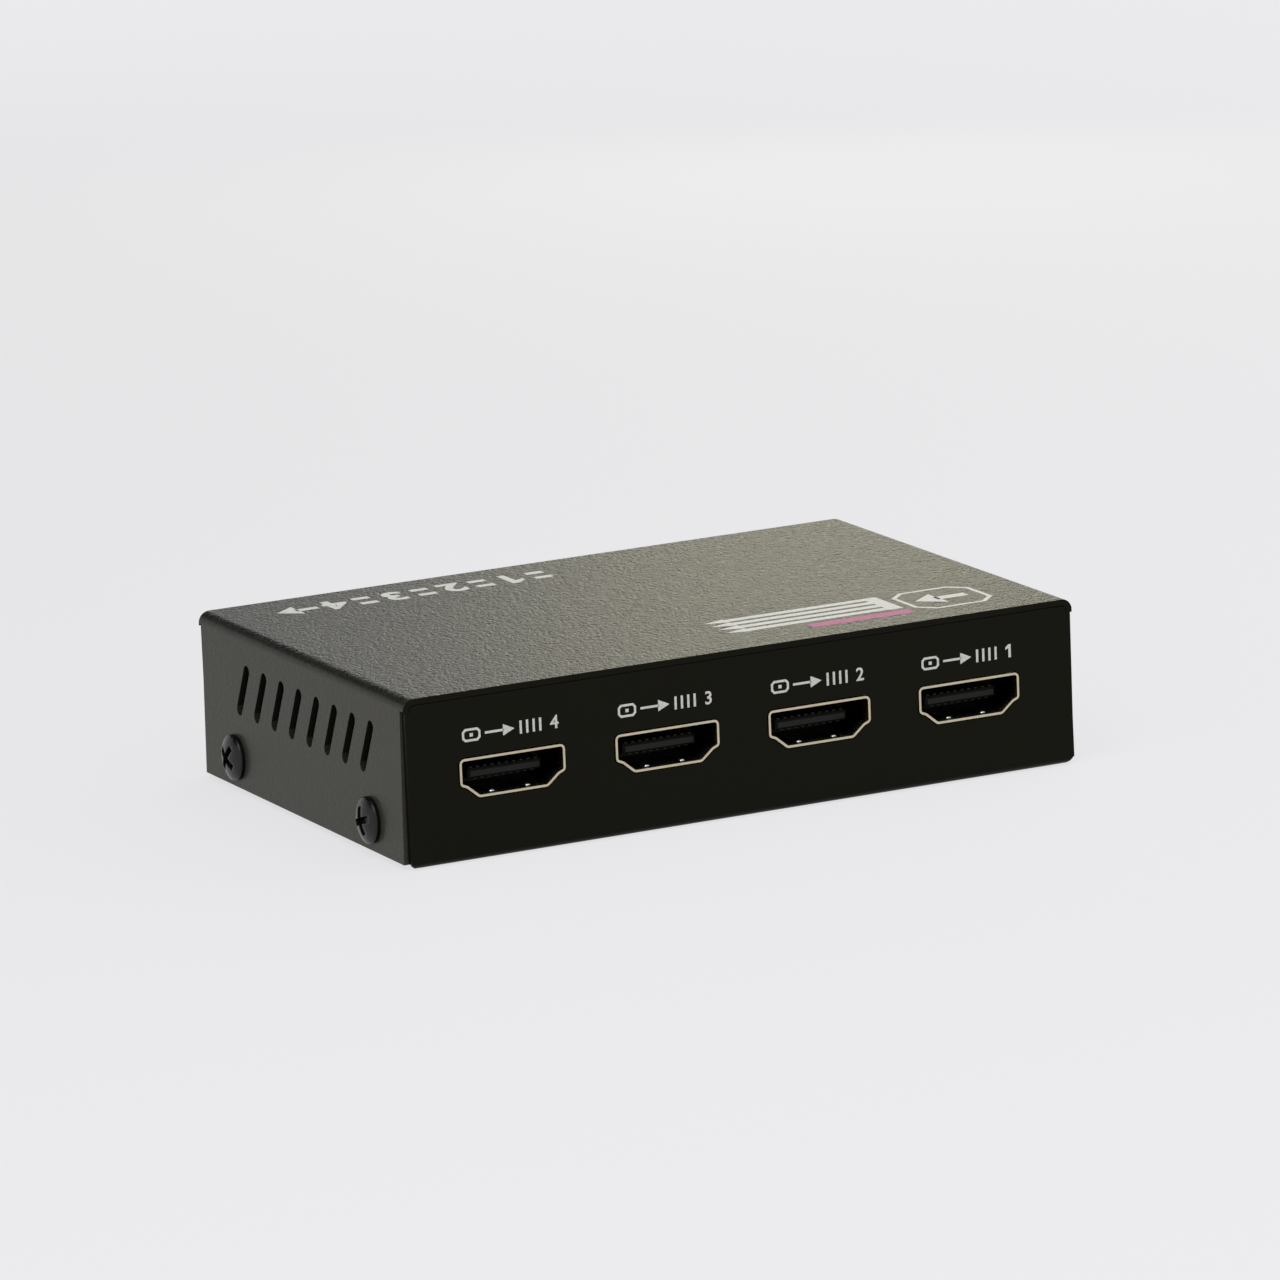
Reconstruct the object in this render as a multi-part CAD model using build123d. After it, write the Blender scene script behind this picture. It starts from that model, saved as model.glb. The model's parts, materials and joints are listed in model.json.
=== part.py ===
from build123d import *
import math
import os

# A video splitter with one input and four outputs: a folded steel tray and a folded steel cover
# around one circuit board. The frame has Z up from the underside, the output panel facing -Y, the
# input panel facing +Y, and X along the panels. All lengths are in millimetres.

# Case
case_width = 95.0  # across the side walls, just under the top bends
case_depth = 61.0  # from the face of the output panel to the face of the input panel
case_height = 21.8
sheet = 0.8
cover_bend_inside = 0.7
tray_bend_inside = 0.5
wall_flare = 0.35  # each side wall leans out by this much at its lower edge
wall_lift = 0.7  # from the underside up to the lower edges of the side walls
panel_lap = 0.55  # how far each end panel laps over the end edges of the side walls
slip_gap = 0.1  # between the cover and the tray
notch_gap = 0.3  # between the end panel's shoulder and the cover's bend
flange_height = 8.5
relief_gap = 0.4  # open corner between a side flange and an end panel
overrun = 1.0  # how far a cutting shape runs past the face that it cuts

# Small rounds that repeat are made of flats, which keeps the whole part light
coarse_turn = 36.0  # degrees that one flat turns
fine_turn = 22.5  # the same for rounds in plain view

# Vent slots in the side walls
vent_count = 8
vent_pitch = 5.28
vent_row_middle = -1.25
vent_drop = 7.9  # from the top of the case down to the middle of the slots
vent_length = 7.6
vent_width = 1.65
vent_round = 0.8
vent_slant = 25.0  # degrees from upright, with the tops leaning towards the output panel

# Side screws
side_screw_height = 4.6
side_screw_set_back = 10.3  # from the face of each end panel
side_screw_length = 2.6
side_head_radius = 3.0
side_head_rim = 0.5
side_head_height = 1.5
shank_radius = 1.45
thread_gap = 0.05
shank_hole_radius = 1.7  # clearance hole in the cover
collar_wall = 0.8
collar_height = 1.0  # extruded collar inside each side flange

# Circuit board, its standoffs and its screws
board_thickness = 1.6
board_side_gap = 0.45  # from the board to the collars of the side flanges
board_end_gap = 0.5  # from the board to the end panels
board_corner = 1.0
board_drop = 13.75  # from the top of the case down to the board's upper face
standoff_sides = 6
standoff_radius = 3.1  # out to the corners
spigot_radius = 2.05
spigot_gap = 0.02
spigot_recess = 0.05  # the spigot stops this far above the underside
standoff_bore_radius = 1.5
standoff_floor = 0.6
standoff_margin = 7.5  # from the side of the case to the standoff's axis
standoff_socket_gap = 1.1  # from the output sockets back to the screw heads on the standoffs
standoff_rear_set_back = 8.5  # from the face of the input panel
board_hole_radius = 1.7
board_screw_end_gap = 0.5  # from the screw's end to the bottom of the standoff's bore
board_head_radius = 2.6
board_head_rim = 0.8
board_head_height = 1.7

# Video sockets: the mouth is the inside of the metal shell
mouth_width = 14.0
mouth_height = 4.55
mouth_floor_width = 9.3
mouth_shoulder = 1.65  # from the mouth's floor up to its side shoulders
mouth_step = 0.75  # how far each shoulder steps in
mouth_step_drop = 0.3
mouth_corner = 0.35
mouth_shoulder_round = 0.22
mouth_step_round = 0.6
mouth_floor_round = 0.45
shell_sheet = 0.3
shell_length = 10.8
cutout_gap = 0.15  # between a socket's shell and the panel round it
rim_proud = 0.1  # how far the shells stand out of the panels
seat_gap = 0.02
finger_spread = 5.0
finger_width = 1.3
finger_slot = 0.3
finger_tip = 0.7  # from the mouth back to the window's front edge
finger_reach = 5.2  # from the mouth back to the finger's root
window_overcut = 0.15  # how far a window's cut runs past the wall's two faces
finger_lift = 0.14  # how far a finger bows into the mouth
finger_crown = 2.0  # from the mouth back to the finger's highest point
leg_width = 1.6
leg_front = 3.2  # from the mouth back to the middle of the front legs
leg_rear = 9.2
leg_below = 0.7  # how far a leg comes out under the board
leg_gap = 0.15
tongue_width = 10.2
tongue_thickness = 1.3
tongue_height = 2.2  # from the mouth's floor to the tongue's middle
tongue_recess = 2.3
tongue_chamfer = 0.3
insert_overlap = 3.6  # how far the socket's plastic block reaches into the shell's rear end
insert_length = 4.2
insert_gap = 0.02
contact_pitch = 1.0
contact_width = 0.4
contact_thickness = 0.15
contact_tip = 0.5  # from the tongue's front edge back to the contacts
contact_fall = 0.7  # from the block back to the middle of the falling legs
upper_contact_count = 10
lower_contact_count = 9

# Places along the panels, from the side of the case to the middle of each piece
output_count = 4
output_margin = 15.025
output_row_middle = -0.35
input_margin = 24.0
jack_margin = 16.5

# Power jack
jack_width = 9.0
jack_height = 10.8
jack_depth = 14.0
jack_flange = 3.4  # depth of the square front block
jack_barrel_radius = 4.1
jack_axis = 6.4  # from the board up to the bore's axis
jack_corner = 0.8
jack_bore_radius = 3.2
jack_bore_depth = 10.5
jack_panel_gap = 0.05
jack_hole_radius = 3.6
jack_pin_radius = 1.0
jack_pin_recess = 1.5
jack_pin_bevel = 0.45
jack_pin_neck = 0.7
jack_pin_gap = 0.05
tail_thickness = 0.4
tail_width = 2.4
tail_below = 1.2
tail_gap = 0.15
spring_width = 2.6
spring_thickness = 0.3
spring_slot_gap = 0.2
spring_slot_start = 4.2
spring_slot_end = 10.0
spring_bow = 0.5  # how far the leaf spring bows into the bore

# Indicator lights, midway between the power jack and the input socket
light_count = 5
light_pitch = 4.0
light_radius = 1.5
light_length = 3.4
light_tip = 0.7  # bevel round the tip
light_base_radius = 1.85
light_base_length = 1.0
light_hole_gap = 0.1
light_panel_recess = 0.1  # from the panel's face back to the light's tip
light_axis = 2.7  # from the board up to the lights' axis
wire_size = 0.5
wire_spread = 2.54
wire_fall = 1.6  # from the light's base to the bend of its wires
wire_below = 1.0
wire_gap = 0.15

# Main chip, with leads on four sides
main_chip_size = 10.0
main_chip_height = 1.4
main_chip_lead_count = 11
main_chip_pitch = 0.8
main_chip_x = -3.0
main_chip_y = 0.0
main_lead_width = 0.35

# Shape of every chip's body and bent leads
lead_thickness = 0.15
lead_reach = 1.1
lead_heel_share = 0.5  # the foot starts at this share of the lead's reach
chip_stand = 0.1  # air under a chip's body
chip_bevel = 0.15

# Small chips, with leads on two sides
memory_length = 4.9
memory_width = 3.9
memory_height = 1.45
memory_pitch = 1.27
memory_lead_count = 4
memory_y = 0.0
memory_xs = (-31.0, -24.5)
small_lead_width = 0.42
controller_length = 5.0
controller_width = 4.4
controller_height = 1.0
controller_pitch = 0.65
controller_lead_count = 7
controller_lead_width = 0.25
controller_x = -17.0
controller_y = 0.0

# Parts of the power supply: their X is counted from the jack's axis towards the middle
# Regulators, with one wide tab and narrow leads
regulator_length = 6.5
regulator_width = 3.5
regulator_height = 1.6
regulator_narrow_count = 3
regulator_pitch = 2.3
regulator_lead_width = 0.75
regulator_tab_width = 3.0
regulator_from_jack = 15.5
regulator_ys = (-3.5, 5.5)

# Storage capacitors, the choke, the fuse and the diode, and the crystal of the main chip
can_radius = 3.15
can_height = 6.6
can_bevel = 0.5
can_base = 6.6
can_base_height = 1.0
can_base_chamfer = 1.2
cans_from_jack = (6.0, -3.0)
can_y = 3.2
choke_size = 7.0
choke_height = 4.2
choke_corner = 1.4
choke_bevel = 0.35
choke_from_jack = 1.0
choke_y = -4.1
choke_pad_width = 2.2
choke_pad_thickness = 0.2
crystal_length = 5.0
crystal_width = 3.2
crystal_base_height = 0.6
crystal_lid_height = 0.4
crystal_lip = 0.2  # how far the ceramic base stands out round its metal lid
crystal_x = 1.5
crystal_y = 13.5
fuse_length = 4.5
fuse_width = 3.2
fuse_height = 0.9
fuse_from_jack = 13.5
fuse_y = 13.5
diode_length = 4.3
diode_width = 2.6
diode_height = 2.2
diode_from_jack = 6.7
diode_y = 11.5
solder_gap = 0.02  # every small part stands this far above the board

# Small parts in rows behind each socket, each row at a gap behind the legs of the contacts
guard_length = 2.5
guard_width = 1.0
guard_height = 0.5
guard_count = 2
guard_spread = 5.2
guard_row_gap = 1.3
chip_capacitor_length = 1.6
chip_capacitor_width = 0.8
chip_capacitor_height = 0.8
capacitor_count = 4
capacitor_pitch = 2.6
capacitor_row_gap = 2.9
chip_resistor_length = 1.0
chip_resistor_width = 0.5
chip_resistor_height = 0.35
resistor_count = 4
resistor_pitch = 2.6
resistor_row_gap = 4.5

# Derived sizes of the case
half_width = case_width / 2
half_depth = case_depth / 2
vent_middle_height = case_height - vent_drop
cover_bend_outside = cover_bend_inside + sheet
tray_bend_outside = tray_bend_inside + sheet
wall_lean = math.atan(wall_flare / (case_height - wall_lift))
panel_half = half_width - sheet + panel_lap
panel_top = case_height - sheet - slip_gap
wall_set_back = sheet + slip_gap


def wall_outside(height):
    """Half the width across the outsides of the side walls at a height."""
    return half_width + wall_flare * (case_height - height) / (case_height - wall_lift)


def wall_inside(height):
    return wall_outside(height) - sheet / math.cos(wall_lean)


flange_half = wall_inside(flange_height) - slip_gap
flange_run = case_depth - 2 * (tray_bend_outside + relief_gap)

# Derived heights and places of the board and what stands on it
board_top = case_height - board_drop
board_bottom = board_top - board_thickness
standoff_height = board_bottom - sheet
board_screw_length = board_thickness + standoff_height - standoff_floor - board_screw_end_gap
board_half_width = flange_half - sheet - collar_height - board_side_gap
board_half_depth = half_depth - sheet - board_end_gap
mouth_floor = board_top + seat_gap + shell_sheet
light_height = board_top + light_axis
light_step = light_length + light_base_length
insert_start = shell_length - insert_overlap
contact_leg_place = insert_start + insert_length + contact_fall
standoff_front_y = (
    -half_depth - rim_proud + insert_start + insert_length + standoff_socket_gap + board_head_radius
)
standoff_spots = [
    (side * (half_width - standoff_margin), y)
    for side in (-1, 1)
    for y in (standoff_front_y, half_depth - standoff_rear_set_back)
]
side_screw_ys = (side_screw_set_back - half_depth, half_depth - side_screw_set_back)

output_pitch = 2 * (half_width - output_margin) / (output_count - 1)
input_x = input_margin - half_width
jack_x = half_width - jack_margin
light_row_middle = (input_x + jack_x) / 2
output_xs = [
    output_row_middle + (k - (output_count - 1) / 2) * output_pitch for k in range(output_count)
]
output_places = [Location((x, -half_depth - rim_proud, mouth_floor)) for x in output_xs]
input_place = Location((input_x, half_depth + rim_proud, mouth_floor)) * Rotation(0, 0, 180)
socket_places = output_places + [input_place]
jack_place = Location((jack_x, half_depth - sheet - jack_panel_gap, board_top)) * Rotation(0, 0, 180)
light_xs = [
    light_row_middle + (k - (light_count - 1) / 2) * light_pitch for k in range(light_count)
]


def save(name, items):
    """Writes one node, which holds one solid or a group of separate ones."""
    solids = [solid for item in items for solid in item.solids()]
    shape = solids[0] if len(solids) == 1 else Compound(solids)
    export_step(shape, f"parts/{name}.step")


def block(x0, x1, y0, y1, z0, z1):
    """A box between three pairs of coordinates."""
    size = (x1 - x0, y1 - y0, z1 - z0)
    middle = ((x0 + x1) / 2, (y0 + y1) / 2, (z0 + z1) / 2)
    return Pos(*middle) * Box(*size)


def row(count, pitch):
    """Places of a centred row."""
    return [(k - (count - 1) / 2) * pitch for k in range(count)]


def deep(face, start, depth):
    """Stands a face drawn in X and Y up in X and Z, and carries it back along Y."""
    return Pos(0, start, 0) * extrude(Plane.XZ * face, amount=depth, dir=(0, 1, 0))


def across(face, width):
    """Stands a face drawn in X and Y up in Y and Z, and carries it both ways along X."""
    return extrude(Plane.YZ * face, amount=width / 2, both=True)


def folded(corners, radius, thickness, side):
    """The cut face of a folded sheet whose outside follows the corners."""
    outside = FilletPolyline(*corners, radius=radius)
    return make_face(offset(outside, amount=thickness, side=side).edges())


def ring(radius, turn=coarse_turn):
    """A small round face, made of flats."""
    return RegularPolygon(radius, round(360 / turn))


def peg(radius, height, turn=coarse_turn):
    """A small round bar about the origin, made of flats."""
    return extrude(ring(radius, turn), amount=height / 2, both=True)


def softened(corners, radii, turn=coarse_turn, grow=0.0):
    """A face whose corners, taken anticlockwise, are rounded by flats.

    Grow moves the whole outline outwards, and the rounds keep their centres.
    """
    points = []
    for k, (corner, radius) in enumerate(zip(corners, radii)):
        here = Vector(*corner)
        back = (Vector(*corners[k - 1]) - here).normalized()
        on = (Vector(*corners[(k + 1) % len(corners)]) - here).normalized()
        side = math.copysign(1, on.cross(back).Z)  # below zero at a hollow corner
        half = math.radians(back.get_angle(on)) / 2
        sweep = math.pi - 2 * half
        centre = here + (back + on).normalized() * (radius / math.sin(half))
        normal = math.atan2(back.X, -back.Y)
        reach = side * radius + grow
        flats = math.ceil(math.degrees(sweep) / turn) if radius else 0
        for i in range(flats + 1):
            angle = normal + side * sweep * i / max(flats, 1)
            points.append((centre.X + reach * math.cos(angle), centre.Y + reach * math.sin(angle)))
    return make_face(Polyline(*points, close=True))


def softened_rectangle(length, width, radius, turn=coarse_turn):
    x, y = length / 2, width / 2
    return softened([(-x, -y), (x, -y), (x, y), (-x, y)], 4 * [radius], turn)


def with_left_half(corners, radii):
    """Completes an outline whose right half is given from its foot to its top."""
    left = [(-x, y) for x, y in reversed(corners)]
    return corners + left, radii + radii[::-1]


# Video sockets


def mouth_outline(grow):
    """The inside of a socket's mouth, with stepped and slanted lower corners, moved outwards."""
    half = mouth_width / 2
    shoulder_x = half - mouth_step
    shoulder_y = mouth_shoulder - mouth_step_drop
    floor_half = mouth_floor_width / 2
    right = [(floor_half, 0), (shoulder_x, shoulder_y), (half, mouth_shoulder), (half, mouth_height)]
    radii = [mouth_floor_round, mouth_step_round, mouth_shoulder_round, mouth_corner]
    return softened(*with_left_half(right, radii), grow=grow)


mouth_face = mouth_outline(0)
shell_face = mouth_outline(shell_sheet)
cutout_face = mouth_outline(shell_sheet + cutout_gap)


def socket_finger(wall_middle, inward):
    """One spring finger: its root at the back, its crown bowed into the mouth, its tip turned out."""
    tip_y = finger_tip + finger_slot
    crown = wall_middle + inward * finger_lift
    line = Polyline((finger_reach + finger_slot, wall_middle), (finger_crown, crown), (tip_y, wall_middle))
    return across(trace(line, line_width=shell_sheet), finger_width)


def socket_shell():
    """The formed metal shell, with four spring fingers and four solder legs."""
    shell = deep(shell_face - mouth_face, 0, shell_length)
    window_half = finger_width / 2 + finger_slot
    walls = ((mouth_height, 1), (-shell_sheet, -1))
    for x in (-finger_spread / 2, finger_spread / 2):
        for low, outward in walls:
            shell -= block(
                x - window_half,
                x + window_half,
                finger_tip,
                finger_reach,
                low - window_overcut,
                low + shell_sheet + window_overcut,
            )
            shell += Pos(x, 0, 0) * socket_finger(low + shell_sheet / 2, -outward)
    inner = mouth_width / 2
    outer = inner + shell_sheet
    leg_top = mouth_shoulder + shell_sheet
    leg_bottom = -shell_sheet - seat_gap - board_thickness - leg_below
    for y in (leg_front, leg_rear):
        leg = block(inner, outer, y - leg_width / 2, y + leg_width / 2, leg_bottom, leg_top)
        shell += leg + mirror(leg, Plane.YZ)
    return shell


def socket_insert():
    """The plastic block that closes a shell at the back, with the tongue that carries the contacts."""
    body = deep(mouth_outline(-insert_gap), insert_start, insert_length)
    low = tongue_height - tongue_thickness / 2
    high = tongue_height + tongue_thickness / 2
    half = tongue_width / 2
    tongue = block(-half, half, tongue_recess, insert_start + contact_tip, low, high)
    tongue = chamfer(tongue.faces().sort_by(Axis.Y)[0].edges(), tongue_chamfer)
    body += tongue
    back = insert_start + insert_length + overrun
    body -= block(-half, half, insert_start, back, high, high + contact_thickness)
    body -= block(-half, half, insert_start, back, low - contact_thickness, low)
    return body


def socket_contact(level):
    """One contact: along the tongue, through the block, and down to the board."""
    start = tongue_recess + contact_tip
    foot = -shell_sheet - seat_gap + solder_gap
    line = Polyline((start, level), (contact_leg_place, level), (contact_leg_place, foot))
    return across(trace(line, line_width=contact_thickness), contact_width)


def socket_contacts():
    reach = tongue_thickness / 2 + contact_thickness / 2
    upper = socket_contact(tongue_height + reach)
    lower = socket_contact(tongue_height - reach)
    contacts = [Pos(x, 0, 0) * upper for x in row(upper_contact_count, contact_pitch)]
    return contacts + [Pos(x, 0, 0) * lower for x in row(lower_contact_count, contact_pitch)]


def socket_leg_slots():
    """What the board gives up for one socket's legs, in the socket's own frame."""
    x = mouth_width / 2 + shell_sheet / 2
    size = (shell_sheet + 2 * leg_gap, leg_width + 2 * leg_gap, board_thickness + 2 * overrun)
    z = -shell_sheet - seat_gap - board_thickness / 2
    return [Pos(side * x, y, z) * Box(*size) for side in (-1, 1) for y in (leg_front, leg_rear)]


# Power jack


def jack_body():
    """The moulded jack: a square front, a round barrel behind it, the bore and the spring's slot."""
    front = Rectangle(jack_width, jack_height, align=(Align.CENTER, Align.MIN))
    front = fillet(front.vertices().group_by(Axis.Y)[-1], jack_corner)
    barrel = Pos(0, jack_axis) * Circle(jack_barrel_radius)
    barrel += Rectangle(2 * jack_barrel_radius, jack_axis, align=(Align.CENTER, Align.MIN))
    body = deep(front, 0, jack_flange) + deep(barrel, 0, jack_depth)
    axis = Pos(0, jack_axis)
    body -= deep(axis * Circle(jack_bore_radius), -overrun, jack_bore_depth + overrun)
    body -= deep(axis * ring(jack_pin_neck + jack_pin_gap), 0, jack_depth + overrun)
    slot_half = spring_width / 2 + spring_slot_gap
    body -= block(-slot_half, slot_half, spring_slot_start, spring_slot_end, -overrun, jack_axis)
    return body


def tail(y, top):
    """A flat solder tail, from its top down through the board."""
    low = -board_thickness - tail_below
    half = tail_width / 2
    return block(-half, half, y, y + tail_thickness, low, top)


def jack_pin():
    """The centre pin with a bevelled tip, riveted to its tail behind the jack."""
    length = jack_bore_depth - jack_pin_recess
    pin = deep(Circle(jack_pin_radius), jack_pin_recess, length)
    pin = chamfer(pin.faces().sort_by(Axis.Y)[0].edges(), jack_pin_bevel)
    neck = deep(ring(jack_pin_neck), jack_bore_depth, jack_depth - jack_bore_depth + tail_thickness)
    return Pos(0, 0, jack_axis) * (pin + neck) + tail(jack_depth, jack_axis + tail_width / 2)


def jack_spring():
    """The leaf spring that touches the outside of the plug, and its tail."""
    floor = jack_axis - jack_bore_radius
    rear = spring_slot_end - spring_slot_gap - tail_thickness / 2
    front = spring_slot_start + spring_slot_gap
    middle = (front + rear) / 2
    sunk = floor - spring_thickness
    line = Polyline((rear, -board_thickness - tail_below), (rear, sunk), (middle, floor + spring_bow), (front, sunk))
    return across(trace(line, line_width=spring_thickness), spring_width)


def jack_tail_slots():
    """What the board gives up for the two tails of the jack, in the jack's own frame."""
    rear = spring_slot_end - spring_slot_gap - tail_thickness / 2
    size = (spring_width + 2 * tail_gap, tail_thickness + 2 * tail_gap, board_thickness + 2 * overrun)
    pin_y = jack_depth + tail_thickness / 2
    return [Pos(0, y, -board_thickness / 2) * Box(*size) for y in (rear, pin_y)]


# Indicator lights


def light():
    """A lens with a bevelled tip towards +Z, on a wider base that stands at zero."""
    lens = extrude(ring(light_radius, fine_turn), amount=light_step)
    lens = chamfer(lens.faces().sort_by(Axis.Z)[-1].edges(), light_tip)
    return lens + extrude(ring(light_base_radius), amount=light_base_length)


def light_wire():
    """One square wire: back from the light's base and down through the board."""
    line = Polyline((0, light_axis), (wire_fall, light_axis), (wire_fall, -board_thickness - wire_below))
    return across(trace(line, line_width=wire_size), wire_size)


light_base_y = half_depth - light_panel_recess - light_step


def place_light(x):
    upright = Pos(x, light_base_y, light_height)
    return upright * Rotation(-90, 0, 0) * light()


def light_wire_places():
    """Every wire's frame, with +Y pointing away from the light."""
    return [
        Location((x + side * wire_spread / 2, light_base_y, board_top)) * Rotation(0, 0, 180)
        for x in light_xs
        for side in (-1, 1)
    ]


# Screws and standoffs


def screw(length, head_radius, rim, head_height):
    """A pan-head screw, its seat at zero, its head towards +Z and its shank below."""
    head = extrude(ring(head_radius, fine_turn), amount=head_height)
    head = chamfer(head.faces().sort_by(Axis.Z)[-1].edges(), head_height - rim)
    return head + extrude(ring(shank_radius), amount=-length)


def side_screw_plane(side, y):
    """The seat of a side screw, square to the leaning wall."""
    outward = (side * math.cos(wall_lean), 0, math.sin(wall_lean))
    return Plane(origin=(side * wall_outside(side_screw_height), y, side_screw_height), z_dir=outward)


def standoff():
    """A six-sided standoff pressed into the tray's floor, with a blind bore from the top."""
    body = Pos(0, 0, sheet) * extrude(RegularPolygon(standoff_radius, standoff_sides), amount=standoff_height)
    body += Pos(0, 0, spigot_recess) * extrude(ring(spigot_radius), amount=sheet - spigot_recess)
    bore = extrude(ring(standoff_bore_radius), amount=standoff_height - standoff_floor + overrun)
    return body - Pos(0, 0, sheet + standoff_floor) * bore


# Folded case


def panel_outline():
    """The outline of an end panel: round lower corners, and shoulders under the cover's bends."""
    shoulder = case_height - cover_bend_outside - notch_gap
    shoulder_half = half_width - sheet - slip_gap
    right = [(panel_half, 0), (panel_half, shoulder), (shoulder_half, shoulder), (shoulder_half, panel_top)]
    radii = [tray_bend_outside, 0, 0, cover_bend_inside - slip_gap]
    return softened(*with_left_half(right, radii), fine_turn)


def tray():
    """Floor, two end panels and two low side flanges, folded from one sheet."""
    ends = [(-half_depth, case_height), (-half_depth, 0), (half_depth, 0), (half_depth, case_height)]
    pan = across(folded(ends, tray_bend_outside, sheet, Side.LEFT), 2 * panel_half)
    frame = Pos(0, case_height / 2) * Rectangle(2 * (panel_half + overrun), case_height + 2 * overrun)
    pan -= deep(frame - panel_outline(), -half_depth - overrun, case_depth + 2 * overrun)
    bend_start = flange_half - tray_bend_outside
    clear_run = half_depth - sheet
    for side in (-1, 1):
        inner, outer = sorted((side * bend_start, side * (panel_half + overrun)))
        pan -= block(inner, outer, -clear_run, clear_run, -overrun, sheet + overrun)
    sides = [
        (-flange_half, flange_height),
        (-flange_half, 0),
        (flange_half, 0),
        (flange_half, flange_height),
    ]
    pan += deep(folded(sides, tray_bend_outside, sheet, Side.LEFT), -flange_run / 2, flange_run)
    pan = tray_screw_collars(pan)
    for x, y in standoff_spots:
        pan -= Pos(x, y, 0) * peg(spigot_radius + spigot_gap, 2 * (sheet + overrun))
    return tray_panel_holes(pan)


def tray_screw_collars(pan):
    """Adds the extruded collars that the side screws turn into."""
    hole_radius = shank_radius + thread_gap
    inner_face = flange_half - sheet
    for side in (-1, 1):
        for y in side_screw_ys:
            spot = Pos(side * (inner_face - collar_height / 2), y, side_screw_height)
            pan += spot * Rotation(0, 90, 0) * peg(hole_radius + collar_wall, collar_height)
            through = peg(hole_radius, 2 * (sheet + collar_height + overrun))
            pan -= side_screw_plane(side, y) * through
    return pan


def tray_panel_holes(pan):
    """Opens the end panels for the sockets, the jack and the lights."""
    reach = sheet + 2 * overrun
    for place in socket_places:
        pan -= place * deep(cutout_face, rim_proud - overrun, reach)
    jack_axis_line = Pos(jack_x, 0, board_top + jack_axis)
    pan -= jack_axis_line * deep(Circle(jack_hole_radius), half_depth - sheet - overrun, reach)
    light_hole = ring(light_radius + light_hole_gap, fine_turn)
    for x in light_xs:
        pan -= Pos(x, 0, light_height) * deep(light_hole, half_depth - sheet - overrun, reach)
    return pan


def cover():
    """Top and two side walls, folded from one sheet, with vents and screw holes in the walls."""
    low = half_width + wall_flare
    top = half_width
    corners = [(-low, wall_lift), (-top, case_height), (top, case_height), (low, wall_lift)]
    body = deep(folded(corners, cover_bend_outside, sheet, Side.RIGHT), -half_depth, case_depth)
    bend_height = case_height - cover_bend_outside
    for side in (-1, 1):
        inner, outer = sorted((side * (top - cover_bend_outside), side * (low + overrun)))
        for end in (-1, 1):
            near, far = sorted((end * (half_depth - wall_set_back), end * (half_depth + overrun)))
            body -= block(inner, outer, near, far, -overrun, bend_height)
    slot = Rotation(0, 0, 90 + vent_slant) * softened_rectangle(vent_length, vent_width, vent_round)
    for step in row(vent_count, vent_pitch):
        spot = Pos(0, vent_row_middle + step, vent_middle_height)
        body -= spot * across(slot, 2 * (low + overrun))
    for side in (-1, 1):
        for y in side_screw_ys:
            body -= side_screw_plane(side, y) * peg(shank_hole_radius, 2 * (sheet + overrun))
    return body


# Circuit board and the parts on it


def board():
    """The board, with its screw holes and the slots for every leg and tail that goes through it."""
    outline = softened_rectangle(2 * board_half_width, 2 * board_half_depth, board_corner)
    plate = Pos(0, 0, board_bottom) * extrude(outline, amount=board_thickness)
    middle = board_bottom + board_thickness / 2
    reach = board_thickness + 2 * overrun
    for x, y in standoff_spots:
        plate -= Pos(x, y, middle) * peg(board_hole_radius, reach)
    for place in socket_places:
        for slot in socket_leg_slots():
            plate -= place * slot
    for slot in jack_tail_slots():
        plate -= jack_place * slot
    wire_hole = wire_size + 2 * wire_gap
    for place in light_wire_places():
        plate -= place * Pos(0, wire_fall, -board_thickness / 2) * Box(wire_hole, wire_hole, reach)
    return plate


def on_board(x, y):
    return Pos(x, y, board_top + solder_gap)


def lead(drop, width):
    """One bent lead: out of the body's side along +Y, sloping down, and out to a foot."""
    heel = lead_reach * lead_heel_share
    half = lead_thickness / 2
    upper = [(lead_reach, lead_thickness), (heel + half, lead_thickness), (0, drop + half)]
    lower = [(0, drop - half), (heel, 0), (lead_reach, 0)]
    return across(make_face(Polyline(*upper, *lower, close=True)), width)


def chip_body(length, width, height):
    """A moulded chip body with a bevelled top, standing just clear of the board."""
    body = Pos(0, 0, chip_stand) * small_block(length, width, height)
    return chamfer(body.faces().sort_by(Axis.Z)[-1].edges(), chip_bevel)


def lead_rows(length, width, height, count, pitch, lead_width, turns):
    """Rows of leads, on the sides that the turns name in degrees."""
    single = lead(chip_stand + height / 2, lead_width)
    leads = []
    for turn in turns:
        half = (width if turn % 180 == 0 else length) / 2
        for step in row(count, pitch):
            leads.append(Rotation(0, 0, turn) * Pos(step, half, 0) * single)
    return leads


def regulator_leads():
    """The narrow leads on one side and the wide tab on the other."""
    drop = chip_stand + regulator_height / 2
    half = regulator_width / 2
    narrow = lead(drop, regulator_lead_width)
    leads = [Pos(step, half, 0) * narrow for step in row(regulator_narrow_count, regulator_pitch)]
    return leads + [Rotation(0, 0, 180) * Pos(0, half, 0) * lead(drop, regulator_tab_width)]


def can_body():
    """The aluminium can of a storage capacitor, with its bevelled top."""
    can = Pos(0, 0, can_base_height) * extrude(ring(can_radius, fine_turn), amount=can_height)
    return chamfer(can.faces().sort_by(Axis.Z)[-1].edges(), can_bevel)


def can_foot():
    """The square plastic base of a storage capacitor, with two bevelled corners."""
    face = Rectangle(can_base, can_base)
    face = chamfer(face.vertices().group_by(Axis.Y)[-1], can_base_chamfer)
    return extrude(face, amount=can_base_height)


def choke_body():
    """The square shielded choke."""
    face = Rectangle(choke_size, choke_size)
    face = chamfer(face.vertices(), choke_corner)
    body = Pos(0, 0, choke_pad_thickness) * extrude(face, amount=choke_height - choke_pad_thickness)
    return chamfer(body.faces().sort_by(Axis.Z)[-1].edges(), choke_bevel)


def small_block(length, width, height):
    return Box(length, width, height, align=(Align.CENTER, Align.CENTER, Align.MIN))


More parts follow.
